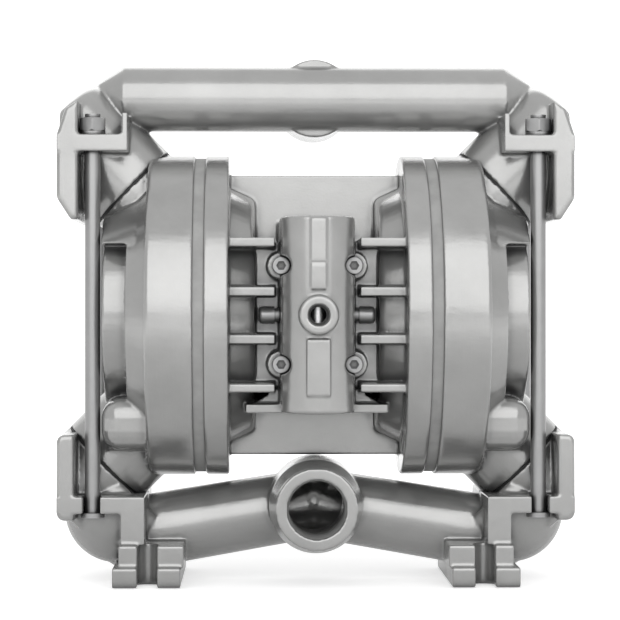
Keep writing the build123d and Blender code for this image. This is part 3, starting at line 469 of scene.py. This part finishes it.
class Slot(Enum):
    """Material slots of the record, each with its finish."""

    # Satin grey and softly pebbled
    CAST = ("cast_aluminium", CastMetal())
    # Bright, with fine turning marks
    MACHINED = ("machined_aluminium", TurnedMetal("aluminium_turned", "#c4c4c5"))
    # Mid grey and matt, as the edge between the rims
    ELASTOMER = ("elastomer", MouldedPolymer("elastomer_moulded", "#8f8f8e", 0.55))
    # Nearly black edge in the joints
    RUBBER = ("black_rubber", MouldedPolymer("neoprene_moulded", "#161616", 0.62))
    # Off-white and waxy
    SEAL = ("seal_plastic", MouldedPolymer("polyethylene_moulded", "#d9d8d2", 0.42))
    # Warm yellow metal
    BRONZE = ("bushing_bronze", TurnedMetal("bronze_turned", "#a98a55", 0.3))
    # Clean ground shaft
    BRIGHT = ("bright_steel", TurnedMetal("steel_ground", "#b9b9ba", 0.18))
    # A shade darker than the castings, a little milky
    PLATED = ("plated_steel", TurnedMetal("steel_zinc_plated", "#959595", 0.34, 0.7))

    @property
    def label(self) -> str:
        """Name of the slot in the record."""
        return self.value[0]


def build_finishes() -> dict[str, bpy.types.Material]:
    """Build the material of every slot.

    Returns:
        Material by slot name.
    """
    return {slot.label: slot.value[1].material() for slot in Slot}


def dress_frame(finishes: dict[str, bpy.types.Material]) -> None:
    """Give every CAD node the finish of its slot.

    Args:
        finishes: material by slot name.
    """
    for part in frame["record"]["subparts"]:
        node = frame["nodes"][part["node"]]
        paint(node, finishes[part["material_slot"]])
        log.info("%s dressed as %s", part["node"], part["material_slot"])


# Castings


@dataclass
class Casting:
    """A cast piece whose corners are rounded as they leave the mould."""

    node: str
    voxel: float = 0.8 * MM
    smoothing: int = 2
    smoothing_step: float = 0.5
    triangle_limit: int = 190000
    extra_nodes: tuple[str, ...] = ()

    def added_forms(self) -> list[bpy.types.Object]:
        """Make the forms that are cast on besides the CAD nodes: none here."""
        return []

    def cut_forms(self) -> list[bpy.types.Object]:
        """Make the forms that are cut out of the CAD nodes: none here."""
        return []

    def build(self) -> bpy.types.Object:
        """Make the softened casting from the CAD nodes and the forms cast on.

        Returns:
            Mesh object at the origin.
        """
        piece = copy_of(frame["nodes"][self.node], self.node)
        others = [copy_of(frame["nodes"][name], name) for name in self.extra_nodes] + self.added_forms()
        if others:
            make_active(piece)
            for other in others:
                other.select_set(True)
            bpy.ops.object.join()
        tidy_mesh(piece)
        for cutter in self.cut_forms():
            apply_modifier(piece, "BOOLEAN", operation="DIFFERENCE", object=cutter, solver="EXACT")
            bpy.data.objects.remove(cutter)
        apply_modifier(piece, "REMESH", mode="VOXEL", voxel_size=self.voxel, adaptivity=0.0)
        apply_modifier(piece, "SMOOTH", factor=self.smoothing_step, iterations=self.smoothing)
        # The remeshed piece is all four-sided faces
        triangles = 2 * len(piece.data.polygons)
        if triangles > self.triangle_limit:
            apply_modifier(piece, "DECIMATE", ratio=self.triangle_limit / triangles)
        make_active(piece)
        bpy.ops.object.shade_smooth()
        return piece

    def place(self, finishes: dict[str, bpy.types.Material]) -> bpy.types.Object:
        """Build the casting, paint it and let it stand for its CAD nodes.

        Args:
            finishes: material by slot name.

        Returns:
            The finished piece.
        """
        piece = self.build()
        paint(piece, finishes[Slot.CAST.label])
        carry(piece, f"{self.node}_casting")
        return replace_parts(piece, self.node, *self.extra_nodes)


@dataclass
class WaterChamber(Casting):
    """Water chamber with a shoulder under its upper valve joint and a block over the lower one."""

    side: int = 1
    axis_height: float = 139.0 * MM
    rim_end: float = 86.0 * MM
    shoulder_end: float = 110.3 * MM
    # Radius of the upper shoulder at the rim and at its outer end
    upper_shoulder: tuple[float, float] = (68.0 * MM, 55.0 * MM)
    shoulder_segments: int = 128
    upper_ledge: float = 175.5 * MM
    # Point of the upper valve joint, whose face leans at 45 degrees
    upper_seam: tuple[float, float] = (95.6 * MM, 205.8 * MM)
    seam_clearance: float = 0.7 * MM
    lower_block_depth: float = 46.0 * MM
    # How far the block reaches in behind the rim's end, and its lower and upper height
    lower_block_in: float = 12.0 * MM
    lower_block: tuple[float, float] = (69.3 * MM, 96.5 * MM)
    lower_block_round: float = 10.0 * MM
    round_segments: int = 5

    def build_upper_shoulder(self) -> bpy.types.Object:
        """Make the tapered shoulder under the upper valve joint, flat below and cut along the joint.

        Returns:
            Mesh object at the origin.
        """
        middle = self.side * (self.rim_end + self.shoulder_end) / 2
        deselect_all()
        bpy.ops.mesh.primitive_cone_add(vertices=self.shoulder_segments, radius1=self.upper_shoulder[0],
                                        radius2=self.upper_shoulder[1], depth=self.shoulder_end - self.rim_end,
                                        location=(middle, 0, self.axis_height),
                                        rotation=(0, self.side * math.pi / 2, 0))
        shoulder = bpy.context.object
        settle(shoulder)
        joint = (self.side * (self.upper_seam[0] - self.seam_clearance), 0, self.upper_seam[1] - self.seam_clearance)
        bpy.ops.object.mode_set(mode="EDIT")
        for point, outwards in (((0, 0, self.upper_ledge), (0, 0, -1)), (joint, (self.side, 0, 1))):
            bpy.ops.mesh.select_all(action="SELECT")
            bpy.ops.mesh.bisect(plane_co=point, plane_no=outwards, clear_outer=True, use_fill=True)
        bpy.ops.object.mode_set(mode="OBJECT")
        return shoulder

    def build_lower_block(self) -> bpy.types.Object:
        """Make the rounded block over the lower valve joint.

        Returns:
            Mesh object at the origin.
        """
        low, high = self.lower_block
        inner = self.rim_end - self.lower_block_in
        middle = (self.side * (inner + self.shoulder_end) / 2, 0, (low + high) / 2)
        deselect_all()
        bpy.ops.mesh.primitive_cube_add(size=1.0, location=middle,
                                        scale=(self.shoulder_end - inner, 2 * self.lower_block_depth, high - low))
        block = bpy.context.object
        settle(block)
        bpy.ops.object.mode_set(mode="EDIT")
        bpy.ops.mesh.select_all(action="SELECT")
        bpy.ops.mesh.bevel(offset=self.lower_block_round, segments=self.round_segments, affect="EDGES")
        bpy.ops.object.mode_set(mode="OBJECT")
        return block

    def added_forms(self) -> list[bpy.types.Object]:
        """Make the upper shoulder and the lower block."""
        return [self.build_upper_shoulder(), self.build_lower_block()]


@dataclass
class InletManifold(Casting):
    """Inlet manifold, whose two sloping passages open into one round chamber behind the port."""

    chamber_place: tuple[float, float, float] = (0.0, -1.2 * MM, 40.5 * MM)
    chamber_radius: float = 15.2 * MM

    def cut_forms(self) -> list[bpy.types.Object]:
        """Make the round chamber where the passages meet.

        Returns:
            The chamber as a solid ball.
        """
        deselect_all()
        bpy.ops.mesh.primitive_uv_sphere_add(segments=64, ring_count=32, radius=self.chamber_radius,
                                             location=self.chamber_place)
        chamber = bpy.context.object
        settle(chamber)
        return [chamber]


# Threads and fasteners


class PipeThread(Enum):
    """Pipe threads of the ports, each with its pitch and the height of its ridge in millimetres."""

    QUARTER_INCH = (1.411, 0.42)
    HALF_INCH = (1.814, 0.50)
    THREE_QUARTER_INCH = (1.814, 0.58)
    ONE_INCH = (2.209, 0.70)

    @property
    def pitch(self) -> float:
        """Pitch in metres."""
        return self.value[0] * MM

    @property
    def height(self) -> float:
        """Height of the ridge in metres."""
        return self.value[1] * MM


@dataclass
class PortThread:
    """Internal thread that winds down the wall of a port."""

    name: str
    mouth: tuple[float, float, float]
    radius: float
    length: float
    thread: PipeThread
    faces_front: bool = True
    steps: int = 64
    # Part of the ridge's height by which it stands in the wall, and part of the pitch that it fills
    sunk: float = 0.3
    fill: float = 0.78
    # Part of the pitch between the port's mouth and the first ridge
    lead: float = 0.7
    # Part of the ridge's height by which its ends go into the wall, and steps over which they do
    end_sink: float = 1.3
    run_out: int = 21

    @classmethod
    def at_mount(cls, name: str, mount: str, thread: PipeThread) -> "PortThread":
        """Fit a thread to a threaded hole of the record.

        Args:
            name: piece name.
            mount: name of the threaded hole.
            thread: its pipe thread.

        Returns:
            The thread, not yet built.
        """
        hole = next(entry for entry in frame["record"]["mounts"] if entry["name"] == mount)
        length = hole["dims"]["length_mm"] * MM
        mouth = Vector(hole["pos_m"]) + Vector(hole["axis"]) * length / 2
        return cls(name, tuple(mouth), hole["dims"]["r_mm"] * MM, length, thread, hole["axis"][1] < 0)

    def build(self) -> bpy.types.Object:
        """Wind a three-sided ridge along the bore and trim it at both ends, as the tap leaves it.

        Returns:
            Mesh object at the origin.
        """
        pitch, height = self.thread.pitch, self.thread.height
        deselect_all()
        bpy.ops.mesh.primitive_circle_add(vertices=3, radius=height / 1.5, fill_type="NOTHING",
                                          location=(0, 0, 0), rotation=(math.pi / 2, -math.pi / 2, 0))
        piece = bpy.context.object
        settle(piece)
        bpy.ops.object.mode_set(mode="EDIT")
        bpy.ops.mesh.select_all(action="SELECT")
        bpy.ops.transform.resize(value=(1.0, 1.0, self.fill * pitch / height))
        bpy.ops.transform.translate(value=(self.radius - self.sunk * height, 0, self.lead * pitch))
        bpy.ops.object.mode_set(mode="OBJECT")
        turns = int((self.length - pitch) / pitch)
        apply_modifier(piece, "SCREW", axis="Z", screw_offset=pitch, iterations=turns, steps=self.steps,
                       render_steps=self.steps, use_merge_vertices=False)
        self.sink_ends(piece)
        make_active(piece)
        bpy.ops.object.mode_set(mode="EDIT")
        bpy.ops.mesh.select_all(action="DESELECT")
        bpy.ops.mesh.select_non_manifold(extend=False, use_boundary=True)
        bpy.ops.mesh.fill()
        bpy.ops.mesh.select_all(action="SELECT")
        bpy.ops.mesh.normals_make_consistent(inside=False)
        bpy.ops.object.mode_set(mode="OBJECT")
        turn = Matrix.Rotation(-math.pi / 2 if self.faces_front else math.pi / 2, 4, "X")
        piece.matrix_world = Matrix.Translation(Vector(self.mouth)) @ turn
        settle(piece)
        bpy.ops.object.shade_smooth_by_angle(angle=math.radians(30))
        return piece

    def sink_ends(self, piece: bpy.types.Object) -> None:
        """Let the ridge sink into the wall over the first and last part of a turn.

        Args:
            piece: wound ridge, whose vertices stand three to a step in the order of winding.
        """
        make_active(piece)
        count = len(piece.data.vertices)
        bpy.ops.object.mode_set(mode="EDIT")
        bpy.ops.mesh.select_mode(type="VERT")
        for step in range(self.run_out):
            bpy.ops.mesh.select_all(action="DESELECT")
            bpy.ops.object.mode_set(mode="OBJECT")
            for corner in range(3):
                piece.data.vertices[3 * step + corner].select = True
                piece.data.vertices[count - 1 - 3 * step - corner].select = True
            bpy.ops.object.mode_set(mode="EDIT")
            outwards = 1 + self.end_sink * self.thread.height / self.radius * (1 - step / self.run_out)
            bpy.ops.transform.resize(value=(outwards, outwards, 1.0), center_override=(0, 0, 0))
        bpy.ops.object.mode_set(mode="OBJECT")

    def place(self, finishes: dict[str, bpy.types.Material], slot: Slot) -> bpy.types.Object:
        """Build the thread and paint it.

        Args:
            finishes: material by slot name.
            slot: finish of the port.

        Returns:
            The finished piece.
        """
        piece = self.build()
        paint(piece, finishes[slot.label])
        return carry(piece, self.name)


@dataclass
class ClampNuts:
    """Hexagon nuts on the four clamp rods, with the corners turned off at both ends."""

    width: float = 12.7 * MM
    bore: float = 8.04 * MM
    # Bevels of the turned corners and of the remaining edges
    corner_bevel: float = 0.9 * MM
    edge_bevel: float = 0.15 * MM
    # The turned body is a hair wider than the hexagon, so that no two faces coincide
    turned_excess: float = 1.005

    def build_nut(self, bottom: float, top: float) -> bpy.types.Object:
        """Make one nut round the Z axis.

        Args:
            bottom: height of its lower face.
            top: height of its upper face.

        Returns:
            Mesh object at the origin.
        """
        height = top - bottom
        middle = (0, 0, (bottom + top) / 2)
        corner = self.width / math.sqrt(3)
        deselect_all()
        bpy.ops.mesh.primitive_cylinder_add(vertices=6, radius=corner, depth=height, location=middle)
        nut = bpy.context.object
        settle(nut)
        deselect_all()
        bpy.ops.mesh.primitive_cylinder_add(vertices=64, radius=corner * self.turned_excess,
                                            depth=height, location=middle)
        turned = bpy.context.object
        settle(turned)
        apply_modifier(turned, "BEVEL", width=self.corner_bevel, segments=1, limit_method="ANGLE",
                       angle_limit=math.radians(60))
        apply_modifier(nut, "BOOLEAN", operation="INTERSECT", object=turned, solver="EXACT")
        bpy.data.objects.remove(turned)
        deselect_all()
        bpy.ops.mesh.primitive_cylinder_add(vertices=48, radius=self.bore / 2, depth=height * 2, location=middle)
        drill = bpy.context.object
        settle(drill)
        apply_modifier(nut, "BOOLEAN", operation="DIFFERENCE", object=drill, solver="EXACT")
        bpy.data.objects.remove(drill)
        tidy_mesh(nut)
        apply_modifier(nut, "BEVEL", width=self.edge_bevel, segments=2, limit_method="ANGLE",
                       angle_limit=math.radians(25))
        return nut

    def place(self, finishes: dict[str, bpy.types.Material]) -> bpy.types.Object:
        """Set a nut on each rod, as one piece in place of the plain ones.

        Args:
            finishes: material by slot name.

        Returns:
            The finished piece.
        """
        low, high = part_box("clamp_nuts")
        reach = self.width / 2
        spots = [(x, y) for x in (low.x + reach, high.x - reach) for y in (low.y, high.y)]
        corner = self.width / math.sqrt(3)
        spots = [(x, y + corner if y < 0 else y - corner) for x, y in spots]
        first = self.build_nut(low.z, high.z)
        nuts = [first] + [copy_of(first, "nut") for _ in spots[1:]]
        for nut, (x, y) in zip(nuts, spots):
            nut.matrix_world = Matrix.Translation((x, y, 0))
            settle(nut)
        make_active(first)
        for nut in nuts:
            nut.select_set(True)
        bpy.ops.object.join()
        bpy.ops.object.shade_smooth_by_angle(angle=math.radians(30))
        paint(first, finishes[Slot.PLATED.label])
        carry(first, "clamp_nuts_hex")
        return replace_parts(first, "clamp_nuts")


# Studio


@dataclass
class Studio:
    """Plain pale floor and backdrop, soft light from a big front panel, and the camera of the photograph."""

    camera_place: tuple[float, float, float] = (-0.0309, -1.25, 0.139)
    camera_target: tuple[float, float, float] = (-0.00225, 0.0, 0.14165)
    focal: float = 136.8
    sensor: float = 36.0
    view_end: float = 30.0
    floor_colour: str = "#dcdcdc"
    floor_size: float = 8.0
    floor_drop: float = 0.5 * MM
    backdrop_height: float = 4.0
    floor_glow: float = 0.55
    backdrop_glow: float = 1.0
    # The paper glows more further off, where the picture is pure white
    glow_reach: tuple[float, float] = (0.3, 1.3)
    # The pump mirrors the paper round its feet painted dimmer than the paper further off, a painted shade on the
    # pump's undersides that stands for its own shade there
    floor_in_metal: float = 0.5
    shade_reach: tuple[float, float] = (0.25, 1.1)
    fill: float = 0.72
    pump_middle: tuple[float, float, float] = (0.0, 0.0, 0.14)
    front_watts: float = 21.0
    back_watts: float = 6.0

    def build_floor(self) -> None:
        """Make a floor with a backdrop that stands at its far edge."""
        deselect_all()
        bpy.ops.mesh.primitive_plane_add(size=self.floor_size, location=(0, 0, -self.floor_drop))
        floor = bpy.context.object
        settle(floor)
        bpy.ops.object.mode_set(mode="EDIT")
        bpy.ops.mesh.select_all(action="DESELECT")
        bpy.ops.mesh.select_mode(type="EDGE")
        bpy.ops.object.mode_set(mode="OBJECT")
        for edge in floor.data.edges:
            edge.select = all(floor.data.vertices[v].co.y > 0 for v in edge.vertices)
        bpy.ops.object.mode_set(mode="EDIT")
        bpy.ops.mesh.extrude_region_move(TRANSFORM_OT_translate={"value": (0, 0, self.backdrop_height)})
        bpy.ops.object.mode_set(mode="OBJECT")
        floor.name = "floor_and_backdrop"
        paint(floor, self.floor_material())

    def floor_material(self) -> bpy.types.Material:
        """Build pale paper that reads as white behind the pump and keeps its shadow.

        Returns:
            Floor material.
        """
        material, tree = new_tree("seamless_paper_pale")
        paper = add_node(tree, "ShaderNodeBsdfDiffuse", {"Color": linear(self.floor_colour)})
        ray = add_node(tree, "ShaderNodeLightPath")
        seen = combine(tree, "MAXIMUM", ray.outputs["Is Camera Ray"], ray.outputs["Is Transmission Ray"])
        place = add_node(tree, "ShaderNodeTexCoord").outputs["Object"]
        distance = add_node(tree, "ShaderNodeVectorMath", None, {0: place}, operation="LENGTH").outputs["Value"]
        # Painted shade: near the pump the paper shows dimmer in reflections than to the camera
        off_shade = remap(tree, distance, (self.floor_in_metal, 1.0), self.shade_reach, "SMOOTHSTEP")
        mirrored = combine(tree, "MULTIPLY", ray.outputs["Is Glossy Ray"], off_shade)
        glow_here = remap(tree, distance, (self.floor_glow, self.backdrop_glow), self.glow_reach)
        shown = combine(tree, "MULTIPLY", combine(tree, "MAXIMUM", seen, mirrored), glow_here)
        glow = add_node(tree, "ShaderNodeEmission", {"Color": (1, 1, 1, 1)}, {"Strength": shown})
        both = add_node(tree, "ShaderNodeAddShader", None, {0: paper.outputs[0], 1: glow.outputs[0]})
        add_node(tree, "ShaderNodeOutputMaterial", None, {"Surface": both.outputs[0]})
        return material

    def build_world(self) -> None:
        """White surroundings for the camera and for reflections, and soft even fill for the pump."""
        world = bpy.data.worlds.new("studio")
        bpy.context.scene.world = world
        world.use_nodes = True
        tree = world.node_tree
        tree.nodes.clear()
        ray = add_node(tree, "ShaderNodeLightPath")
        through = combine(tree, "MAXIMUM", ray.outputs["Is Camera Ray"], ray.outputs["Is Transmission Ray"])
        seen = combine(tree, "MAXIMUM", through, ray.outputs["Is Glossy Ray"])
        strength = remap(tree, seen, (self.fill, 1.0), (0.0, 1.0))
        light = add_node(tree, "ShaderNodeBackground", {"Color": (1, 1, 1, 1)},
                         {"Strength": strength})
        add_node(tree, "ShaderNodeOutputWorld", None, {"Surface": light.outputs[0]})

    def build_lamps(self) -> None:
        """Hang one wide panel in front and above, and a weaker one high behind."""
        self.add_panel("front_panel", (0.0, -1.44, 0.90), (2.6, 1.57), self.front_watts)
        self.add_panel("back_panel", (0.0, 1.30, 1.40), (2.0, 0.9), self.back_watts)

    def add_panel(self, name: str, place: tuple[float, float, float], size: tuple[float, float],
                  watts: float) -> None:
        """Add one rectangular lamp that faces the pump's middle.

        Args:
            name: lamp name.
            place: centre of the panel.
            size: width and height.
            watts: light output.
        """
        lamp = bpy.data.lights.new(name, "AREA")
        lamp.shape = "RECTANGLE"
        lamp.size, lamp.size_y = size
        lamp.energy = watts
        holder = bpy.data.objects.new(name, lamp)
        bpy.context.scene.collection.objects.link(holder)
        holder.location = place
        aim = Vector(self.pump_middle) - Vector(place)
        holder.rotation_euler = aim.to_track_quat("-Z", "Y").to_euler()

    def build_camera(self) -> None:
        """Set up the camera of the photograph."""
        lens = bpy.data.cameras.new("camera")
        lens.lens = self.focal
        lens.sensor_width = self.sensor
        lens.dof.use_dof = False
        lens.clip_end = self.view_end
        camera = bpy.data.objects.new("camera", lens)
        bpy.context.scene.collection.objects.link(camera)
        camera.location = self.camera_place
        aim = Vector(self.camera_target) - Vector(self.camera_place)
        camera.rotation_euler = aim.to_track_quat("-Z", "Y").to_euler()
        bpy.context.scene.camera = camera
        bpy.context.scene.view_settings.view_transform = "Standard"

    def build(self) -> None:
        """Build floor, world, lamps and camera."""
        self.build_floor()
        self.build_world()
        self.build_lamps()
        self.build_camera()
        log.info("studio ready")


def main() -> None:
    """Build the studio and every piece of the pump in order."""
    logging.basicConfig(level=logging.INFO, format="%(name)s: %(message)s")
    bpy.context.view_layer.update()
    Studio().build()
    finishes = build_finishes()
    dress_frame(finishes)
    for casting in (Casting("centre_section"), WaterChamber("water_chamber_left", side=-1),
                    WaterChamber("water_chamber_right", side=1), Casting("discharge_manifold", smoothing=4),
                    InletManifold("inlet_manifold", smoothing=4, extra_nodes=("foot_left", "foot_right")),
                    Casting("air_valve_body", voxel=0.5 * MM, smoothing=12)):
        casting.place(finishes)
    for name, mount, thread in (("inlet_thread", "inlet_port", PipeThread.ONE_INCH),
                                ("discharge_thread", "discharge_port", PipeThread.THREE_QUARTER_INCH),
                                ("air_inlet_thread", "air_inlet", PipeThread.QUARTER_INCH),
                                ("exhaust_thread", "exhaust_port", PipeThread.HALF_INCH)):
        PortThread.at_mount(name, mount, thread).place(finishes, Slot.CAST)
    ClampNuts().place(finishes)


if __name__ == "__main__":
    main()
